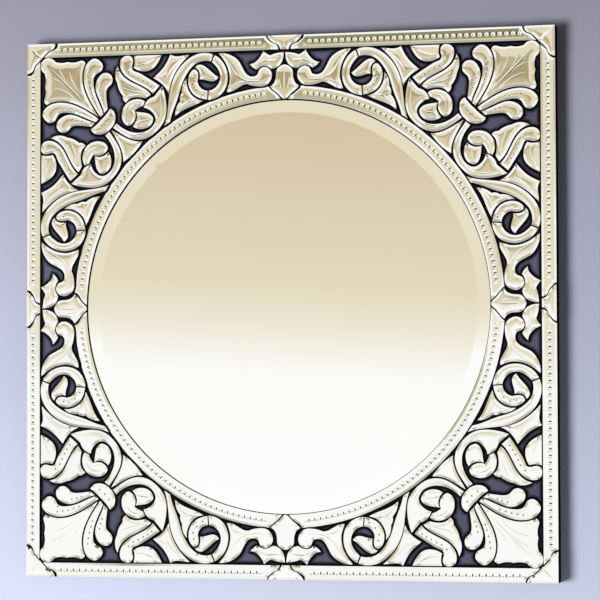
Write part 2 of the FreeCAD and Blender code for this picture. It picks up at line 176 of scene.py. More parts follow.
def stained_wood(name, stretch):
    """Black stain on softwood: noise drawn out along the rail makes grain lines, pores and dull streaks.

    The stain is thinner on the back, where the grain shows through.
    """
    material, tree, shader, place = new_finish(name)
    grain = noise(tree, place, 90, 6, stretch)
    pores = noise(tree, place, 420, 3, stretch)
    thick = colour_ramp(tree, grain, (0.35, (0.004, 0.004, 0.004)), (0.7, (0.020, 0.019, 0.018)))
    thin = colour_ramp(tree, grain, (0.35, (0.016, 0.014, 0.012)), (0.55, (0.046, 0.039, 0.033)),
                       (0.72, (0.095, 0.079, 0.064)))
    on_back = number_range(tree, towards_wall(tree), 0.5, 0.9, 0, 1)
    tint = mixed_colour(tree, on_back, thick, thin)
    dull = number_range(tree, grain, 0.3, 0.7, 0.42, 0.68)
    ridges = shader_node(tree, "Bump", Height=pores, Strength=0.35, Distance=0.4 * mm)
    set_inputs(shader, Base_Color=tint, Roughness=dull, Normal=ridges.outputs["Normal"],
               Specular_IOR_Level=0.0)
    return material


across_grain = stained_wood("stained_rail", (0.05, 1, 1))
upright_grain = stained_wood("stained_stile", (1, 1, 0.05))
for rail in ("top_rail", "bottom_rail", "centre_rail", "hanging_rail"):
    dress(rail, across_grain)
for stile in ("left_stile", "right_stile"):
    dress(stile, upright_grain)


# The screws: wood screws with a cross recess, headed from steel wire and zinc plated.
# The countersunk ones go through a rail into the back of the board, flush with the rail.
# The round-headed ones hold the hangers' straps to the hanging rail.

rail_screw_head = 3.75 * mm
rail_screw_shank = 1.75 * mm
rail_screw_sink = 2.5 * mm
hanger_screw_head = 3.2 * mm
hanger_screw_dome = 1.75 * mm
hanger_screw_shank = 1.5 * mm
screw_point = 2 * mm
widest_head = 8.5 * mm
head_steps = 32
cross_share = 0.18
cross_taper = 0.6
cross_depth_share = 0.5
join_distance = 1e-7
quarter_turn = np.array([[0, 1], [-1, 0]])
four_ways = [np.linalg.matrix_power(quarter_turn, turns) for turns in range(4)]


def zinc_plate():
    """Zinc plated steel: a cool grey metal with fine brushing and dull patches."""
    material, tree, shader, place = new_finish("zinc_plate")
    tint = mottled(tree, place, 180, 4, (0.42, 0.43, 0.44), (0.66, 0.66, 0.65))
    dull = number_range(tree, noise(tree, place, 700, 2, (0.1, 1, 1)), 0.3, 0.7, 0.26, 0.45)
    set_inputs(shader, Base_Color=tint, Roughness=dull, Metallic=1.0)
    return material


def screw_places(node):
    """Middle of each screw of a group, with the y of its head's face and of its tip.

    Points less than a head's width apart belong to one screw, which is known by its first point.
    """
    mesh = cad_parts[node].data
    points = np.empty(3 * len(mesh.vertices))
    mesh.vertices.foreach_get("co", points)
    points = points.reshape(-1, 3)
    flat = points[:, [0, 2]]
    owner = (np.hypot(*np.moveaxis(flat[:, None] - flat, -1, 0)) < widest_head).argmax(1)
    owned = [points[owner == first] for first in np.unique(owner)]
    return [((own.min(0) + own.max(0)) / 2, own[:, 1].max(), own[:, 1].min()) for own in owned]


def closed_loop(count):
    """Pairs of each of some points with the next one, round a loop."""
    near = np.arange(count)
    return np.column_stack([near, np.roll(near, -1)])


def turned(profile, steps):
    """Profile of (radius, y) points carried round the Y axis. Its ends lie on the axis, one point each."""
    radius, depth = np.array(profile).T
    angle = np.linspace(0, 2 * np.pi, steps, endpoint=False)
    ring = np.stack([np.outer(radius[1:-1], np.cos(angle)), np.repeat(depth[1:-1, None], steps, 1),
                     np.outer(radius[1:-1], np.sin(angle))], -1)
    places = np.concatenate([[[0, depth[0], 0]], ring.reshape(-1, 3), [[0, depth[-1], 0]]])
    near, far = closed_loop(steps).T
    rows = 1 + steps * np.arange(len(profile) - 3)[:, None]
    last = len(places) - 1
    start = np.column_stack([np.zeros(steps, int), 1 + near, 1 + far])
    end = np.column_stack([last - steps + far, last - steps + near, np.full(steps, last)])
    one = np.stack([rows + near, rows + steps + far, rows + far], -1).reshape(-1, 3)
    two = np.stack([rows + near, rows + steps + near, rows + steps + far], -1).reshape(-1, 3)
    return places, np.concatenate([start, one, two, end])


def delaunay(places, lines):
    """Flat points joined by Delaunay triangles within some lines, with those edges that lie on a line."""
    flat, edges, faces, _, from_lines, _ = delaunay_2d_cdt(
        places.tolist(), lines.tolist(), [], 1, join_distance)
    on_line = np.fromiter(map(len, from_lines), int) > 0
    return np.array(flat), np.array(faces), np.array(edges)[on_line]


def cross_headed(profile, radius, dome):
    """Screw turned from a profile of (radius, y) below its head's face, with a cross recess in that face.

    The face is joined from the rim, the cross and the smaller cross at its bottom. Its height is
    dome * (1 - (r / radius)^2), less the recess.
    """
    body, body_triangles = turned([(0, 0), (radius, 0)] + profile, head_steps)
    angle = np.linspace(0, 2 * np.pi, head_steps, endpoint=False)
    rim = radius * np.column_stack([np.cos(angle), np.sin(angle)])
    arm = np.array([[1, -1], [3, -1], [3, 1]])
    cross = np.concatenate([arm @ turn for turn in four_ways]) * radius * cross_share
    loop = closed_loop(len(cross))
    lines = np.concatenate([closed_loop(head_steps), head_steps + loop, head_steps + len(cross) + loop])
    flat = np.concatenate([rim, cross, cross_taper * cross])
    _, faces, _ = delaunay(flat, lines)
    height = dome * (1 - (flat ** 2).sum(1) / radius ** 2)
    height[head_steps + len(cross):] -= cross_depth_share * radius
    face = np.column_stack([flat[:, 0], height, flat[:, 1]])
    places = np.concatenate([body[1:], face[head_steps:]])
    number = np.concatenate([np.arange(head_steps), len(body) - 1 + np.arange(len(face) - head_steps)])
    return places, np.concatenate([number[faces][:, ::-1], body_triangles[head_steps:] - 1])


def add_object(name, places, triangles, materials, finish_of):
    """Mesh object that rides on the mirror, with a finish for each triangle."""
    mesh = bpy.data.meshes.new(name)
    mesh.from_pydata(places.tolist(), [], triangles.tolist())
    for material in materials:
        mesh.materials.append(material)
    mesh.polygons.foreach_set("material_index", finish_of.astype(np.int32))
    mesh.shade_smooth()
    piece = bpy.data.objects.new(name, mesh)
    bpy.context.scene.collection.objects.link(piece)
    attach(piece, "mirror")
    return piece


def add_piece(name, places, triangles, materials, finish_of, node):
    """Mesh object that stands for one CAD node."""
    piece = add_object(name, places, triangles, materials, finish_of)
    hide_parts(node)
    return piece.data


def mark_sharp(mesh, angle, creases=()):
    """Edges bent by more than the angle are sharp, and so are the given pairs of points."""
    mesh.set_sharp_from_angle(angle=np.radians(angle))
    if len(creases) == 0:
        return
    count = len(mesh.vertices)
    ends = np.empty(2 * len(mesh.edges), np.int32)
    mesh.edges.foreach_get("vertices", ends)
    keys = np.sort(ends.reshape(-1, 2).astype(np.int64), axis=1) @ [count, 1]
    wanted = np.sort(np.asarray(creases, np.int64), axis=1) @ [count, 1]
    sharp = np.empty(len(mesh.edges), bool)
    mesh.edges.foreach_get("use_edge_sharp", sharp)
    mesh.edges.foreach_set("use_edge_sharp", sharp | np.isin(keys, wanted))


def add_screws(node, radius, dome, profile_to):
    """All the screws of a CAD node as one mesh, in zinc."""
    places, triangles, count = [], [], 0
    for middle, face, tip in screw_places(node):
        own, own_triangles = cross_headed(profile_to(face - dome - tip), radius, dome)
        places.append(own + [middle[0], face - dome, middle[2]])
        triangles.append(own_triangles + count)
        count += len(own)
    triangles = np.concatenate(triangles)
    mesh = add_piece(node + "_zinc", np.concatenate(places), triangles, [zinc],
                     np.zeros(len(triangles)), node)
    mark_sharp(mesh, angle=25)


zinc = zinc_plate()
add_screws("rail_screws", rail_screw_head, 0, lambda length: [
    (rail_screw_shank, -rail_screw_sink), (rail_screw_shank, -length + screw_point), (0, -length)])
add_screws("hanger_screws", hanger_screw_head, hanger_screw_dome, lambda length: [
    (hanger_screw_shank, 0), (hanger_screw_shank, -length + screw_point), (0, -length)])


# The hangers: straps of 1.2 mm zinc plated steel rolled round the bar of a wire ring.
# Two round-headed screws hold each strap to the hanging rail, and the ring swings in the roll.

for node in ("hanger_strap_left", "hanger_strap_right", "hanger_ring_left", "hanger_ring_right"):
    dress(node, zinc)


# The round mirror: a disc of 5 mm silvered float glass with a wide polished bevel.
# It is glued to the middle of the board, inside the ring, by hand, a little low and to the right.

mirror_low, mirror_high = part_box("mirror_disc")
mirror_radius = mirror_high.x
mirror_bevel_width = 20 * mm
mirror_bevel_depth = 2 * mm
mirror_steps = 360
disc_shift = [0.9 * mm, 0, -0.6 * mm]
edge_margin = 0.1 * mm


def silvered(name, dim, bright, wave_depth, smear):
    """Silvered glass: a bright metal with faint smears and slow waves in the surface."""
    material, tree, shader, place = new_finish(name)
    film = noise(tree, place, 16, 5)
    tint = colour_ramp(tree, film, (0.3, dim), (0.7, bright))
    haze = number_range(tree, film, 0.3, 0.75, smear / 2, smear)
    waves = shader_node(tree, "Bump", Height=noise(tree, place, 26, 1), Strength=1.0, Distance=wave_depth)
    set_inputs(shader, Base_Color=tint, Roughness=haze, Normal=waves.outputs["Normal"], Metallic=1.0)
    return material


def glass_edge():
    """Ground glass edge, nearly black: partly the edge's own dark tone, partly painted shade in the joints.
    """
    material, tree, shader, place = new_finish("glass_edge")
    # Nearly black: partly the edge's own tone, partly painted shade.
    tint = colour_ramp(tree, noise(tree, place, 120, 3),
                       (0.35, (0.002, 0.002, 0.002)), (0.7, (0.006, 0.007, 0.006)))
    set_inputs(shader, Base_Color=tint, Roughness=0.45, Specular_IOR_Level=0.0)
    return material


ground_edge = glass_edge()
mirror_silver = silvered("mirror_silver", (0.985, 0.985, 0.98), (0.995, 0.995, 0.99), 0.006 * mm, 0.03)
bevel_foot = mirror_low.y + mirror_bevel_depth
mirror_profile = [(0, mirror_low.y), (mirror_radius - mirror_bevel_width, mirror_low.y),
                  (mirror_radius, bevel_foot), (mirror_radius, mirror_high.y), (0, mirror_high.y)]
disc_places, disc_triangles = turned(mirror_profile, mirror_steps)
disc_places += disc_shift
disc_edge = disc_places[disc_triangles][..., 1].max(1) > bevel_foot + edge_margin
disc_mesh = add_piece("round_mirror", disc_places, disc_triangles, [mirror_silver, ground_edge],
                      disc_edge, "mirror_disc")
mark_sharp(disc_mesh, angle=4)


# The ring round the mirror: four arcs of mirror glass, ground to a slope with a row of pearls standing in it.
# The gaps between the pearls have a short notch, dull and painted dark grey as a painted reflection.
# The arcs' ends meet the four keystones, and like all the glass they are glued to the board, with a black
# bead of painted shadow round them.

half_side = cad_box[1].x
glass_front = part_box("ring_arcs")[0].y
glass_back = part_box("ring_arcs")[1].y
lying_flat = 0.01 * mm
place_digits = 7
longest_step = 5 * mm
least_mitre = 0.05
clear_share = 0.97
bevel_width = 3.6 * mm
bevel_depth = 1.9 * mm
crown_width = 8 * mm
crown_height = 0.4 * mm
crown_rows = (0, 0.2, 0.45, 0.8)
# Sizes of the black bead round each piece, which is painted shadow.
shadow_bead_width = 9.0 * mm
shadow_bead_height = 0.4 * mm
shadow_bead_black_height = 0.26 * mm
shadow_bead_foot_height = 0.03 * mm
shadow_bead_least_turn = 0.2
slope_angle = 9
slope_margin = 2.8 * mm
pearl_drop = 1.35 * mm
pearl_foot = 0.35 * mm
pearl_waist = 0.55
pearl_steps = 12
pearl_waist_steps = 6
pearl_rim = 1.001
notch_drop = 0.5 * mm
notch_shift = 1.0 * mm
notch_steps = 10
ring_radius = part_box("ring_arcs")[1].x
ring_keystone_angle = 4.6
ring_slope_start = ring_keystone_angle + 1.0
ring_slope_steps = 120
ring_pearl_row = 11.6 * mm
ring_pearl_radius = 3.5 * mm
ring_pearl_pitch = 9.9 * mm
ring_notch_half = 1.0 * mm
ring_notch_reach = 2.9 * mm


def corner_quarter(x, z):
    """Upper right quarter, with the corner in its middle."""
    return (0 < x) & (0 < z)


def outline(node, region):
    """Points and edges round one piece, from the face with which its solid lies on the board.

    An edge of that face's triangles with no twin running the other way is on the outline. Seen from the
    front, the glass lies to the left of each edge. Edges are split into steps no longer than longest_step.
    """
    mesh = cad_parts[node].data
    mesh.calc_loop_triangles()
    places = np.empty(3 * len(mesh.vertices))
    mesh.vertices.foreach_get("co", places)
    corners = np.empty(3 * len(mesh.loop_triangles), np.int32)
    mesh.loop_triangles.foreach_get("vertices", corners)
    triangles = places.reshape(-1, 3)[corners.reshape(-1, 3)]
    middle = triangles.mean(1)
    on_board = np.all(np.abs(triangles[..., 1] - glass_back) < lying_flat, 1)
    on_board &= region(middle[:, 0], middle[:, 2])
    flat = triangles[on_board][..., [0, 2]].reshape(-1, 2)
    points, at = np.unique(np.round(flat, place_digits), axis=0, return_inverse=True)
    at = at.reshape(-1, 3)
    start, end = at.ravel(), np.roll(at, -1, 1).ravel()
    single = ~np.isin(start * len(points) + end, end * len(points) + start)
    used, edges = np.unique(np.column_stack([end, start])[single], return_inverse=True)
    points, edges = points[used], edges.reshape(-1, 2)
    run = points[edges[:, 1]] - points[edges[:, 0]]
    steps = np.ceil(np.hypot(*run.T) / longest_step).astype(int)
    first = np.cumsum(steps) - steps
    edge = np.repeat(np.arange(len(edges)), steps)
    step = np.arange(len(edge)) - first[edge]
    begins = np.empty(len(points), int)
    begins[edges[:, 0]] = first
    following = np.where(step + 1 < steps[edge], np.arange(len(edge)) + 1, begins[edges[edge, 1]])
    split = points[edges[edge, 0]] + (step / steps[edge])[:, None] * run[edge]
    return split, np.column_stack([np.arange(len(edge)), following])


def nearest(places, start, end):
    """Distance from each place to the nearest of some runs, with that run's number and the share along it."""
    run = end - start
    off = places[:, None] - start
    share = np.clip((off * run).sum(-1) / (run ** 2).sum(-1), 0, 1)
    away = ((off - share[..., None] * run) ** 2).sum(-1)
    which = away.argmin(1)
    row = np.arange(len(places))
    return np.sqrt(away[row, which]), which, share[row, which]


def inward(points, edges):
    """Directions into the glass, square to the edge that leaves each point and to the one that arrives."""
    run = points[edges[:, 1]] - points[edges[:, 0]]
    square = np.column_stack([-run[:, 1], run[:, 0]]) / np.hypot(*run.T)[:, None]
    leaving, arriving = np.empty_like(points), np.empty_like(points)
    leaving[edges[:, 0]] = square
    arriving[edges[:, 1]] = square
    return leaving, arriving


def inset(points, edges, width):
    """The outline moved inwards by a width, with mitred corners: m = (n1 + n2) / (1 + n1.n2)."""
    leaving, arriving = inward(points, edges)
    mitre = (leaving + arriving) / np.maximum(1 + (leaving * arriving).sum(1), least_mitre)[:, None]
    return points + width * mitre


def all_ways(solid, triangles, ways):
    """A piece's points and triangles, turned and mirrored into all its places round the frame."""
    places = [np.column_stack([solid[:, [0, 2]] @ way.T, solid[:, 1]])[:, [0, 2, 1]] for way in ways]
    turns = [int(np.sign(np.linalg.det(way))) for way in ways]
    joined = [triangles[:, ::turn] + copy * len(solid) for copy, turn in enumerate(turns)]
    return np.concatenate(places), np.concatenate(joined)


def painted_shadow_finish():
    """Painted shadow round each piece: black, dull and a little uneven, fading to the lacquer's violet at its
    foot.
    """
    material, tree, shader, place = new_finish("painted_shadow_finish")
    # Painted shadow: black at the glass, fading to the lacquer's violet towards the bead's foot.
    black = mottled(tree, place, 150, 3, (0.003, 0.003, 0.004), (0.009, 0.009, 0.012))
    level = shader_node(tree, "SeparateXYZ", place).outputs["Y"]
    thick = number_range(tree, level, glass_back - shadow_bead_foot_height, glass_back - shadow_bead_black_height, 0, 1)
    tint = mixed_colour(tree, thick, violet_coat(tree, place), black)
    set_inputs(shader, Base_Color=tint, Roughness=0.6, Specular_IOR_Level=0.0)
    return material


def add_painted_shadow_bead(node, points, edges, ways):
    """Black bead of painted shadow round a piece: a wedge from the glass down to the board, within the board.
    """
    outward = -np.add(*inward(points, edges))
    foot = points + shadow_bead_width * outward / np.maximum(np.hypot(*outward.T), shadow_bead_least_turn)[:, None]
    foot = np.clip(foot, -half_side, half_side)
    count = len(points)
    rows = [(points, shadow_bead_height), (foot, shadow_bead_foot_height), (points, 0)]
    solid = np.concatenate([np.insert(row, 1, glass_back - rise, axis=1) for row, rise in rows])
    a, b = edges.T
    pairs = ((0, count), (count, 2 * count), (2 * count, 0))
    triangles = np.concatenate(
        [np.column_stack([first + a, second + a, second + b]) for first, second in pairs]
        + [np.column_stack([first + a, second + b, first + b]) for first, second in pairs])
    places, triangles = all_ways(solid, triangles, ways)
    # Object of painted shadow round the piece.
    bead = add_object(node + "_glue", places, triangles, [painted_shadow], np.zeros(len(triangles)))
    mark_sharp(bead.data, angle=40)


def painted_dark_cut_finish():
    """Dull, finely mottled dark grey in the deepest cuts: a painted reflection, standing in for dark things
    the glass reflects.
    """
    material, tree, shader, place = new_finish("painted_dark_cut_finish")
    # Painted reflection: a dark grey in place of what the cut would reflect.
    tint = mottled(tree, place, 300, 3, (0.035, 0.035, 0.029), (0.070, 0.070, 0.060))
    set_inputs(shader, Base_Color=tint, Roughness=0.55, Specular_IOR_Level=0.1)
    return material


def front_mesh(points, edges, cuts, crown):
    """A plate's front, joined from its outline, rows inside it and the points and lines of its cuts."""
    start, end = points[edges[:, 0]], points[edges[:, 1]]
    places, lines, count = [points], [edges], len(points)
    for share in crown_rows if crown else crown_rows[:1]:
        width = bevel_width + share * crown_width
        row = inset(points, edges, width)
        clear = nearest(row, start, end)[0] > clear_share * width
        if share == 0:
            lines.append((np.cumsum(clear) - 1)[edges[clear[edges].all(1)]] + count)
        places.append(row[clear])
        count += clear.sum()
    for cut_places, cut_lines, _, _ in cuts:
        places.append(cut_places)
        lines.append(cut_lines + count)
        count += len(cut_places)
    return delaunay(np.concatenate(places), np.concatenate(lines))


def closed_plate(flat, faces, depth):
    """Points and triangles of a plate whose front lies at some depth, closed by a wall and a flat back."""
    count = len(flat)
    start, end = faces.ravel(), np.roll(faces, -1, 1).ravel()
    rim = ~np.isin(start * count + end, end * count + start)
    used, wall = np.unique(np.column_stack([start, end])[rim], return_inverse=True)
    near, far = wall.reshape(-1, 2).T
    _, back, _ = delaunay(flat[used], np.column_stack([near, far]))
    solid = np.concatenate([np.insert(flat, 1, glass_front + depth, axis=1),
                            np.insert(flat[used], 1, glass_back, axis=1)])
    upper = np.column_stack([used[far], used[near], count + near])
    lower = np.column_stack([used[far], count + near, count + far])
    return solid, np.concatenate([faces, upper, lower, count + back[:, ::-1]])


def cut_glass(node, region, ways, cuts=(), crown=crown_height):
    """Glass plate on a CAD piece's outline, with its bevel and cuts, in all its ways round the frame.

    At a distance d from the outline a point lies bevel_depth * (1 - d / bevel_width) under the front, or
    none further in, and crown * (1 - (d - bevel_width) / crown_width)^2 besides. Each cut has points,
    lines, a function that changes this depth, and one that tells where the cut is painted dark.
    """
    points, edges = outline(node, region)
    flat, faces, creases = front_mesh(points, edges, cuts, crown)
    away = nearest(flat, points[edges[:, 0]], points[edges[:, 1]])[0]
    depth = bevel_depth * np.clip(1 - away / bevel_width, 0, 1)
    depth += crown * np.clip(1 - (away - bevel_width) / crown_width, 0, 1) ** 2
    for _, _, deepen, _ in cuts:
        depth = deepen(flat, depth)
    solid, triangles = closed_plate(flat, faces, depth)
    # Faces in a cut's painted dark spots take the dark finish, a painted reflection.
    dull = np.any([painted_dark_at(flat[faces].mean(1)) for *_, painted_dark_at in cuts] + [np.zeros(len(faces))], axis=0)
    finish_of = np.concatenate([2 * dull, np.ones(len(triangles) - len(faces))])
    places, joined = all_ways(solid, triangles, ways)
    mesh = add_piece(node + "_glass", places, joined, [scroll_silver, ground_edge, painted_dark_cuts],
                     np.tile(finish_of, len(ways)), node)
    all_creases = np.concatenate([creases + copy * len(solid) for copy in range(len(ways))])
    mark_sharp(mesh, angle=32, creases=all_creases)
    # A black bead of painted shadow round the piece.
    add_painted_shadow_bead(node, points, edges, ways)


def circle(centres, radius, steps):
    """Points and edges of a circle round each centre."""
    angle = np.linspace(0, 2 * np.pi, steps, endpoint=False)
    places = centres[:, None] + radius * np.column_stack([np.cos(angle), np.sin(angle)])
    lines = closed_loop(steps) + steps * np.arange(len(centres))[:, None, None]
    return places.reshape(-1, 2), lines.reshape(-1, 2)


def polished(flat):
    """Nowhere painted dark."""
    return np.zeros(len(flat), bool)


def slope(rise_to, line_at, edge_distance):
    """Outer part of a strip, ground to a slope: the depth is tan(slope_angle) * (rise_to - distance)."""
    places = line_at(rise_to)
    step = np.arange(len(places) - 1)

    def deepen(flat, depth):
        down = np.clip(rise_to - edge_distance(flat), 0, rise_to - bevel_width)
        return depth + np.tan(np.radians(slope_angle)) * down

    return places, np.column_stack([step, step + 1]), deepen, polished


def pearls(tops, radius):
    """Round pearls that stand in the slope: at r from a top the depth is pearl_drop * (r / radius)^2."""
    rim, lines = circle(tops, radius, pearl_steps)
    foot, foot_lines = circle(tops, radius + pearl_foot, pearl_steps)
    waist, _ = circle(tops, pearl_waist * radius, pearl_waist_steps)

    def deepen(flat, depth):
        share = ((flat[:, None] - tops) ** 2).sum(-1).min(1) / radius ** 2
        return np.where(share < pearl_rim, np.minimum(pearl_drop * share, depth), depth)

    lines = np.concatenate([lines, foot_lines + len(rim)])
    return np.concatenate([rim, foot, waist, tops]), lines, deepen, polished


def notches(middles, along, half_width, reach):
    """Oval notches across a row, between its pearls, dull and painted dark grey as a painted reflection.

    With e as the share of the way from an oval's middle to its rim, the depth is notch_drop * (1 - e^2).
    """
    across = np.column_stack([-along[:, 1], along[:, 0]])
    unit, lines = circle(np.zeros((len(middles), 2)), 1, notch_steps)
    part = unit.reshape(-1, notch_steps, 2, 1)
    rim = (middles[:, None] + half_width * part[:, :, 0] * along[:, None]
           + reach * part[:, :, 1] * across[:, None])

    def oval(flat):
        off = flat[:, None] - middles
        sides = (off * along).sum(-1) / half_width, (off * across).sum(-1) / reach
        return (sides[0] ** 2 + sides[1] ** 2).min(1)

    def deepen(flat, depth):
        return depth + notch_drop * np.maximum(1 - oval(flat), 0)

    # Where the notch is painted dark: a painted reflection.
    def painted_dark_at(flat):
        return oval(flat) < 1

    return np.concatenate([rim.reshape(-1, 2), middles]), lines, deepen, painted_dark_at


def ring_cuts():
    """The slope, notches and pearls of the arc in the upper right quarter."""
    sweep = np.radians(np.linspace(ring_slope_start, 90 - ring_slope_start, ring_slope_steps))
    spokes = np.column_stack([np.cos(sweep), np.sin(sweep)])
    row = ring_radius - ring_pearl_row
    count = int(np.radians(90 - 2 * ring_keystone_angle) * row / ring_pearl_pitch)
    angle = np.pi / 4 + (np.arange(count) - (count - 1) / 2) * ring_pearl_pitch / row
    between = (angle[1:] + angle[:-1]) / 2
    out = np.column_stack([np.cos(between), np.sin(between)])
    return [slope(ring_pearl_row + ring_pearl_radius + slope_margin,
                  lambda away: (ring_radius - away) * spokes,
                  lambda flat: ring_radius - np.hypot(*flat.T)),
            notches((row + notch_shift) * out, np.column_stack([-out[:, 1], out[:, 0]]),
                    ring_notch_half, ring_notch_reach),
            pearls(row * np.column_stack([np.cos(angle), np.sin(angle)]), ring_pearl_radius)]


scroll_silver = silvered("scroll_silver", (0.92, 0.93, 0.915), (0.985, 0.988, 0.982), 0.2 * mm, 0.07)
# Finish of the black beads of painted shadow.
painted_shadow = painted_shadow_finish()
# Finish of the cuts painted dark as a painted reflection.
painted_dark_cuts = painted_dark_cut_finish()
cut_glass("ring_arcs", corner_quarter, four_ways, ring_cuts(), crown=0)


# The keystones: four pointed pieces of mirror glass, one on each axis of the ring.
# A midrib and a vein on each side are cut into the polished front. They are glued to the board, with a black
# bead of painted shadow round them.

def top_quarter(x, z):
    """Quarter between the two upper corners."""
    return np.abs(x) < z


def vein(*through, width, angle, steps=24):
    """V cut along the curve through some points, in mm, that tapers to both ends.

    The curve is the polynomial through the points over their share of the way. At a share t the half
    width is width / 2 * sqrt(sin(pi t)), and the depth is tan(angle) * (half width - distance).
    """
    given = np.array(through) * mm
    way = np.concatenate([[0], np.cumsum(np.hypot(*np.diff(given, axis=0).T))])
    share = np.linspace(0, 1, steps)
    curves = [np.polyfit(way / way[-1], part, len(given) - 1) for part in given.T]
    line = np.column_stack([np.polyval(curve, share) for curve in curves])
    heading = np.gradient(line, axis=0)
    square = np.column_stack([-heading[:, 1], heading[:, 0]]) / np.hypot(*heading.T)[:, None]
    half = width * mm / 2 * np.sqrt(np.sin(np.pi * share))
    side = half[:, None] * square
    inner = slice(1, -1)
    places = np.concatenate([line, (line + side)[inner], (line - side)[inner]])
    row = np.arange(steps)
    left = np.concatenate([[0], steps + np.arange(steps - 2), [steps - 1]])
    right = np.concatenate([[0], 2 * steps - 2 + np.arange(steps - 2), [steps - 1]])
    lines = np.concatenate([np.column_stack([path[:-1], path[1:]]) for path in (row, left, right)])

    def deepen(flat, depth):
        away, run, along = nearest(flat, line[:-1], line[1:])
        inside = np.maximum(np.interp(run + along, row, half) - away, 0)
        return depth + np.tan(np.radians(angle)) * inside

    return places, lines, deepen, polished


def both_sides(cuts_of, *through, **sizes):
    """A cut and its mirror image across the middle of the top."""
    return [cuts_of(*through, **sizes), cuts_of(*[(-x, z) for x, z in through], **sizes)]


keystone_cuts = [vein((0, 356), (0, 374), (0, 390), width=3, angle=16)]
keystone_cuts += both_sides(vein, (4, 360), (7, 368), (8, 378), width=2.4, angle=12)
cut_glass("ring_keystones", top_quarter, four_ways, keystone_cuts)


# The border strips: eight straight strips of mirror glass, glued along the outer edge of the board.
# Like the ring, they are ground to a slope with pearls, and with notches painted dark as a painted
# reflection, all a little larger.

eight_ways = four_ways + [way @ np.diag([-1, 1]) for way in four_ways]
border_slope_ends = np.array([36 * mm, 402 * mm])
border_pearl_row = 12.4 * mm
border_pearl_radius = 3.8 * mm
border_pearl_pitch = 10.95 * mm
border_pearl_start = 43.0 * mm
border_pearl_count = 33
border_notch_half = 1.15 * mm
border_notch_reach = 2.8 * mm


def eighth(x, z):
    """Upper right eighth, between the middle of the top and the corner."""
    return (0 < x) & (x < z)


def border_cuts():
    """The slope, notches and pearls of the strip from the middle of the top to the right."""
    along = border_pearl_start + border_pearl_pitch * np.arange(border_pearl_count)
    tops = np.column_stack([along, np.full(border_pearl_count, half_side - border_pearl_row)])
    return [slope(border_pearl_row + border_pearl_radius + slope_margin,
                  lambda away: np.column_stack([border_slope_ends, np.full(2, half_side - away)]),
                  lambda flat: half_side - flat[:, 1]),
            notches((tops[1:] + tops[:-1]) / 2 + [0, notch_shift], np.tile([1, 0], (len(tops) - 1, 1)),
                    border_notch_half, border_notch_reach),
            pearls(tops, border_pearl_radius)]


cut_glass("border_strips", eighth, eight_ways, border_cuts(), crown=0)


# The border's middle and corner pieces: mirror glass with wavy ends that fit those of the strips.
# They are glued to the board between the strips, and one vein is cut into each.

border_mid_cuts = [vein((0, 430), (0, 435.5), (0, 441), width=2.6, angle=14)]
cut_glass("border_mids", top_quarter, four_ways, border_mid_cuts)
border_corner_cuts = [vein((424, 424), (432, 432), (441, 441), width=5, angle=20)]
cut_glass("border_corners", corner_quarter, four_ways, border_corner_cuts)


# The leaves in the corners: the largest pieces, with a midrib and side veins cut into the mirror glass.
# Bands with three ground hollows and plain wedges of the same glass lie between them and the ring.
# All are glued to the board.

def both_ways(cuts_of, *through, **sizes):
    """A cut and its mirror image across the diagonal."""
    return [cuts_of(*through, **sizes), cuts_of(*[(z, x) for x, z in through], **sizes)]


dimple_steps = 12
dimple_dark_share = 0.5
dimple_dark_steps = 6


def dimples(*through, radius=2.4, drop=0.5):
    """Ground hollows at some points, in mm, painted dark in the middle as a painted reflection: depth is drop
    * (1 - (r / radius)^2).
    """
    centres = np.array(through) * mm
    size = radius * mm
    rim, lines = circle(centres, size, dimple_steps)
    middle, _ = circle(centres, dimple_dark_share * size, dimple_dark_steps)

    def share(flat):
        return np.sqrt(((flat[:, None] - centres) ** 2).sum(-1).min(1)) / size

    def deepen(flat, depth):
        return depth + drop * mm * np.maximum(1 - share(flat) ** 2, 0)

    # Middle of the hollow, painted dark: a painted reflection.
    def painted_dark_at(flat):
        return share(flat) < dimple_dark_share

    return np.concatenate([rim, middle, centres]), lines, deepen, painted_dark_at


leaf_cuts = [vein((345, 345), (380, 380), (410, 410), width=3.4, angle=18)]
leaf_cuts += both_ways(vein, (347, 357), (360, 371), (370, 388), (374, 404), width=2.6, angle=12)
leaf_cuts += both_ways(vein, (376, 380), (386, 394), (392, 408), width=2.4, angle=12)
cut_glass("corner_leaves", corner_quarter, four_ways, leaf_cuts)
band_cuts = [dimples((310.5, 310.5), (303.3, 319.8), (319.8, 303.3))]
cut_glass("corner_bands", corner_quarter, four_ways, band_cuts)
cut_glass("corner_wedges", corner_quarter, four_ways)


# The plumes: a long and a short curled plume of mirror glass on each side of a corner leaf.
# A row of hollows with painted dark middles is ground along each. They are glued to the board, with a black
# bead of painted shadow round them.

long_plume_cuts = [dimples((340.6, 394.2), (339.4, 384.6), (337.8, 375.3), (335, 365.3), (332.2, 355.9))]
cut_glass("long_plumes", eighth, eight_ways, long_plume_cuts)
short_plume_cuts = [dimples((320, 368.7), (317.8, 359.8), (315.6, 352))]
cut_glass("short_plumes", eighth, eight_ways, short_plume_cuts)


# The crescents, curls and their leaves: scrolls of mirror glass between the bands and the bell leaves.
# Each has a vein cut along its middle, and is glued to the board.

crescent_cuts = [vein((214, 360), (212, 335), (217, 313), (232, 298), (255, 290), (280, 299),
                      width=3, angle=14)]
cut_glass("crescents", eighth, eight_ways, crescent_cuts)
curl_cuts = [vein((247, 344), (258, 342), (268, 336), (272, 326), (271, 316), width=3, angle=14)]
cut_glass("curls", eighth, eight_ways, curl_cuts)
curl_leaf_cuts = [vein((232, 316), (245, 314), (258, 312), width=3, angle=14)]
cut_glass("curl_leaves", eighth, eight_ways, curl_leaf_cuts)


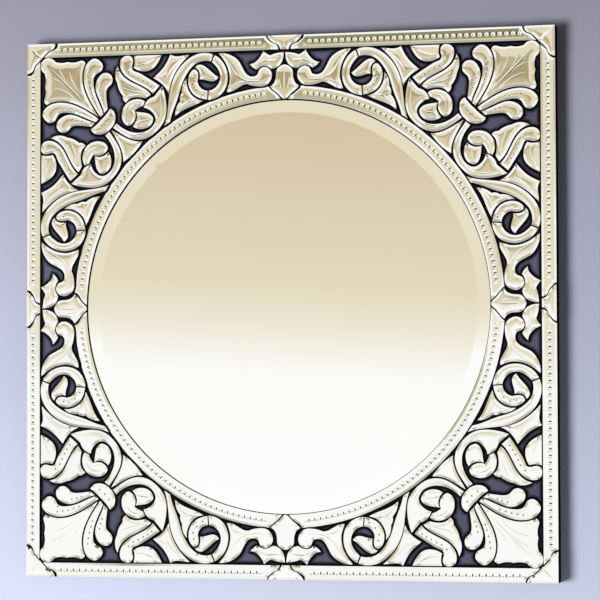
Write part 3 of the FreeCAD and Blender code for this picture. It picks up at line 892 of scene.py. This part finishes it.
# The bell leaves, hooked strips, edge leaves and stem leaves: foliage of mirror glass below the border.
# The leaves have veins cut into them and the strips a row of ground hollows. All are glued to the board.

bell_cuts = [vein((240, 360), (262, 364), (284, 372), width=3, angle=16),
             vein((246, 364), (264, 373), (286, 386), width=2.4, angle=12),
             vein((244, 358), (260, 358.5), (277, 354), width=2.4, angle=12)]
cut_glass("bell_leaves", eighth, eight_ways, bell_cuts)
hook_dots = [(228.7, 372.6), (236, 377.4), (243.4, 381.6), (252.4, 386.3), (260.8, 390), (269.2, 397.4)]
cut_glass("hooked_strips", eighth, eight_ways, [dimples(*hook_dots)])
edge_leaf_cuts = [vein((222, 419), (238, 411), (256, 409), width=3, angle=16)]
cut_glass("edge_leaves", eighth, eight_ways, edge_leaf_cuts)
stem_leaf_cuts = [vein((174, 418), (188, 406), (199, 393), (205, 382), width=3, angle=16),
                  vein((201, 394), (211, 388.5), (220, 385.5), width=2.4, angle=12)]
cut_glass("stem_leaves", eighth, eight_ways, stem_leaf_cuts)


# The large scroll: stem, arc, tail, tip and wedge, cut from mirror glass and glued down edge to edge.
# Stem, arc and tip are plain, the tail has ground hollows, and three veins are cut into the wedge.

for node in ("scroll_stems", "scroll_arcs", "scroll_tips"):
    cut_glass(node, eighth, eight_ways)
tail_cuts = [dimples((156, 384), (157.5, 374), (151, 363.5), (141, 355))]
cut_glass("scroll_tails", eighth, eight_ways, tail_cuts)
wedge_cuts = [vein((149, 346), (166, 344.5), (184, 328), width=3, angle=16),
              vein((158, 347), (168, 356), (172.5, 370), width=2.4, angle=12),
              vein((166, 345), (173, 347), (178, 350), width=2.4, angle=12)]
cut_glass("scroll_wedges", eighth, eight_ways, wedge_cuts)


# The bulb leaves and mid leaves: foliage of mirror glass beside the middle of each side.
# Long veins are cut along them. They are glued to the board, with a black bead of painted shadow round them.

bulb_cuts = [vein((36, 376), (55, 374.5), (75, 381), (90, 399), (102, 415), width=3.2, angle=16),
             vein((66, 375), (80, 372.5), (94, 366), width=2.4, angle=12)]
cut_glass("bulb_leaves", eighth, eight_ways, bulb_cuts)
mid_leaf_cuts = [vein((7, 410.5), (18, 408.5), (30, 409), (40, 405.5), (50, 402), width=3, angle=16)]
cut_glass("mid_leaves", eighth, eight_ways, mid_leaf_cuts)


# The studio's floor and wall: a plain pale floor below the mirror, and the wall on which it hangs.
# The wall is there for a camera in front of it alone, so the mirror can be seen from behind.

stage_steps = 96
floor_height = -0.75
floor_radius = 2.6
floor_thickness = 0.02
wall_radius = 2.6
wall_gap = 2 * mm
fade_end = 0.98


def multiplied(tree, first, *others):
    """Several numbers multiplied."""
    for other in others:
        first = shader_node(tree, "Math", first, other, settings={"operation": "MULTIPLY"}).outputs[0]
    return first


def faded(tree, place, radius, start):
    """1 in the middle of a disc, falling from a share of its radius to 0 just before its rim."""
    across = shader_node(tree, "VectorMath", place, settings={"operation": "LENGTH"}).outputs["Value"]
    return number_range(tree, across, start * radius, fade_end * radius, 1, 0)


def pale_floor():
    """Pale grey floor, faintly clouded, that fades out before its rim."""
    material, tree, shader, place = new_finish("pale_floor")
    tint = mottled(tree, place, 1.5, 3, (0.70, 0.71, 0.75), (0.74, 0.75, 0.79))
    set_inputs(shader, Base_Color=tint, Roughness=0.7, Alpha=faded(tree, place, floor_radius, 0.45))
    return material


def lavender_wall():
    """Lavender grey wall, faintly clouded, with painted light and shade: lighter towards the floor and darker
    towards the top. It fades out before its rim.
    """
    material, tree, shader, place = new_finish("lavender_wall")
    height = shader_node(tree, "SeparateXYZ", place).outputs["Z"]
    cloud = number_range(tree, noise(tree, place, 3, 3), 0.3, 0.7, -0.03, 0.03)
    level = shader_node(tree, "Math", height, cloud).outputs[0]
    # Painted light and shade: light lavender low down, running to dark grey high up.
    tint = colour_ramp(tree, number_range(tree, level, -0.7, 0.7, 0, 1),
                       (0.1, (0.69, 0.75, 0.93)), (0.5, (0.53, 0.55, 0.70)), (0.9, (0.36, 0.35, 0.43)))
    front = number_range(tree, shader_node(tree, "NewGeometry").outputs["Backfacing"], 0, 1, 1, 0)
    looked_at = shader_node(tree, "LightPath").outputs["Is Camera Ray"]
    shown = multiplied(tree, front, looked_at, faded(tree, place, wall_radius, 0.4))
    set_inputs(shader, Base_Color=tint, Roughness=0.8, Alpha=shown, Specular_IOR_Level=0.0)
    return material


def studio_object(name, places, faces, material):
    """Mesh object of the studio, which isn't part of the mirror."""
    mesh = bpy.data.meshes.new(name)
    mesh.from_pydata(places.tolist(), [], faces.tolist())
    mesh.materials.append(material)
    thing = bpy.data.objects.new(name, mesh)
    bpy.context.scene.collection.objects.link(thing)
    return thing


floor_profile = [(0, 0), (floor_radius / 2, 0), (floor_radius, 0), (0, -floor_thickness)]
floor_places, floor_triangles = turned(floor_profile, stage_steps)
floor_places = floor_places[:, [0, 2, 1]] + [0, 0, floor_height]
floor = studio_object("floor", floor_places, floor_triangles[:, ::-1], pale_floor())
floor.visible_glossy = False
floor.visible_shadow = False
wall_profile = [(0, 0), (wall_radius / 2, 0), (wall_radius, 0), (0, 0)]
wall_places, wall_triangles = turned(wall_profile, stage_steps)
wall_places = wall_places[:-1] + [0, wall_gap, 0]
wall = studio_object("wall", wall_places, wall_triangles[:-stage_steps], lavender_wall())


# The lamps: a large soft lamp in front, low and to the left, and another behind for the back.
# Neither shows in the glass.

def soft_lamp(name, place, size, energy):
    """Round soft lamp turned to the mirror."""
    data = bpy.data.lights.new(name, "AREA")
    data.shape = "DISK"
    data.size = size
    data.energy = energy
    lamp = bpy.data.objects.new(name, data)
    lamp.location = place
    lamp.rotation_euler = lamp.location.to_track_quat("Z", "Y").to_euler()
    lamp.visible_glossy = False
    lamp.visible_camera = False
    bpy.context.scene.collection.objects.link(lamp)


soft_lamp("front_lamp", place=(-2.1, -4.0, -0.9), size=2.1, energy=193)
soft_lamp("back_lamp", place=(-0.6, 3.6, 1.6), size=2.0, energy=110)


# The room: a round wall that only the glass sees, white below and warm above, as in a furnished room.
# It gives the mirror its two halves, and the bevels and cuts their lights and darks.

room_radius = 2.5
room_low = -1.5
room_high = 5.2
room_white = (253, 253, 251)
curtain_tone = (232, 223, 199)
blind_tone = (206, 194, 160)
wall_tones = [
    (-1.5, (250, 249, 245)), (-1.0, (255, 255, 255)), (-0.07, (253, 254, 251)), (0.07, (238, 231, 213)),
    (0.17, (228, 218, 190)), (0.61, (215, 197, 167)), (0.66, (206, 188, 155)), (0.69, (177, 161, 123)),
    (0.785, (174, 158, 119)), (0.8, (231, 221, 194)), (1.2, (231, 221, 194)), (1.36, (212, 204, 165)),
    (1.6, (160, 153, 114)), (2.0, (92, 87, 68)), (2.15, (92, 87, 68)), (2.26, (180, 178, 165)),
    (2.36, room_white), (5.2, room_white)]
door_tones = [
    (-0.1, (253, 254, 251)), (0.106, (247, 246, 233)), (0.227, (238, 232, 210)), (0.348, (207, 201, 168)),
    (0.469, (188, 179, 147)), (0.62, (184, 173, 137))]


def screen_colour(*parts):
    """Linear colour of a screen colour with parts from 0 to 255."""
    share = np.array(parts) / 255
    return tuple(np.where(share <= 0.04045, share / 12.92, ((share + 0.055) / 1.055) ** 2.4))


def room_tones():
    """Emission of the room's wall: tones over the height, with doors, curtains and windows on both sides.

    The border between white and tan rises a little to the left. A dark rail, a light frieze, a dark upper
    wall and a white ceiling follow, and beside the middle the ceiling comes down to the frieze. The windows
    are white with darker blinds above.
    """
    material = bpy.data.materials.new("room_tones")
    material.use_nodes = True
    tree = material.node_tree
    tree.nodes.remove(tree.nodes["Principled BSDF"])
    sight = shader_node(tree, "SeparateXYZ", shader_node(tree, "TexCoord").outputs["Object"]).outputs
    slant = number_range(tree, sight["X"], -1.11, -0.09, -0.014, 0.042)
    height = shader_node(tree, "Math", sight["Z"], slant).outputs[0]
    share = number_range(tree, height, room_low, room_high, 0, 1)

    def over_height(tones):
        """Colour over the wall's height through tones at some levels."""
        stops = [((level - room_low) / (room_high - room_low), screen_colour(*tone)) for level, tone in tones]
        return colour_ramp(tree, share, *stops)

    def beside(left_end, left_start, right_start, right_end, most=1):
        """0 in the middle, rising to 1 on its left and to the most on its right."""
        left = number_range(tree, sight["X"], left_end, left_start, 1, 0)
        right = number_range(tree, sight["X"], right_start, right_end, 0, most)
        return shader_node(tree, "Math", left, right).outputs[0]

    def above(low, high):
        """0 up to the low level and 1 from the high one on."""
        return number_range(tree, height, low, high, 0, 1)

    def below(low, high):
        """1 up to the low level and 0 from the high one on."""
        return number_range(tree, height, low, high, 1, 0)

    doors = multiplied(tree, beside(-1.10, -1.04, -0.03, 0.03, 0.8), below(0.62, 0.66))
    walls = mixed_colour(tree, doors, over_height(wall_tones), over_height(door_tones))
    curtains = multiplied(tree, beside(-1.228, -1.212, 0.135, 0.185), above(-0.1, 0.15), below(0.9, 1.0))
    walls = mixed_colour(tree, curtains, walls, screen_colour(*curtain_tone))
    panes = mixed_colour(tree, above(0.35, 0.6), screen_colour(*room_white), screen_colour(*blind_tone))
    walls = mixed_colour(tree, beside(-2.1, -1.7, 1.7, 2.1), walls, panes)
    ceiling = multiplied(tree, beside(-1.45, -1.3, 0.2, 0.35), above(1.1, 1.3))
    walls = mixed_colour(tree, ceiling, walls, screen_colour(*room_white))
    glow = shader_node(tree, "Emission", walls)
    tree.links.new(glow.outputs["Emission"], tree.nodes["Material Output"].inputs["Surface"])
    material.cycles.emission_sampling = "NONE"
    return material


room_angle = np.linspace(0, 2 * np.pi, stage_steps, endpoint=False)
room_ring = room_radius * np.column_stack([np.cos(room_angle), np.sin(room_angle)])
room_places = np.concatenate([np.insert(room_ring, 2, level, axis=1) for level in (room_low, room_high)])
near, far = closed_loop(stage_steps).T
room_faces = np.column_stack([near, stage_steps + near, stage_steps + far, far])
room = studio_object("room_walls", room_places, room_faces, room_tones())
room.visible_camera = False
room.visible_diffuse = False
room.visible_shadow = False


# The world and the camera: an even soft light from all round, and a long lens from the right, a little low.
# The camera sees a pale backdrop, and the glass a white world with a grey band near the floor.

def studio_world():
    """Light by direction: even for the pieces, white over a grey band in the glass, and a pale backdrop."""
    world = bpy.data.worlds.new("studio")
    world.use_nodes = True
    tree = world.node_tree
    direction = shader_node(tree, "TexCoord").outputs["Generated"]
    height = shader_node(tree, "SeparateXYZ", direction).outputs["Z"]
    band = screen_colour(188, 184, 172)
    mirrored = colour_ramp(
        tree, number_range(tree, height, -1, 0, 0, 1), (0.0, screen_colour(236, 235, 230)),
        (0.18, screen_colour(246, 245, 241)), (0.23, band), (0.32, band), (0.5, screen_colour(*room_white)))
    # Painted light on the backdrop: lighter low down and darker high up, as on the wall.
    backdrop = colour_ramp(tree, number_range(tree, height, -0.1, 0.2, 0, 1),
                           (0.1, screen_colour(196, 200, 222)), (0.9, screen_colour(164, 162, 179)))
    path = shader_node(tree, "LightPath").outputs
    light = mixed_colour(tree, path["Is Glossy Ray"], (0.13, 0.13, 0.135), mirrored)
    light = mixed_colour(tree, path["Is Camera Ray"], light, backdrop)
    tree.links.new(light, tree.nodes["Background"].inputs["Color"])
    return world


scene = bpy.context.scene
scene.world = studio_world()
scene.view_settings.view_transform = "Standard"

camera_data = bpy.data.cameras.new("camera")
camera_data.lens = 151.3
camera_data.sensor_width = 36
camera = bpy.data.objects.new("camera", camera_data)
camera_place = (0.9935, -4.069, -0.173)
yaw, pitch, roll = np.radians([13.48, 2.52, -0.144])
camera.matrix_world = (Matrix.Translation(camera_place) @ Matrix.Rotation(yaw, 4, "Z")
                       @ Matrix.Rotation(np.pi / 2 + pitch, 4, "X") @ Matrix.Rotation(roll, 4, "Z"))
scene.collection.objects.link(camera)
scene.camera = camera
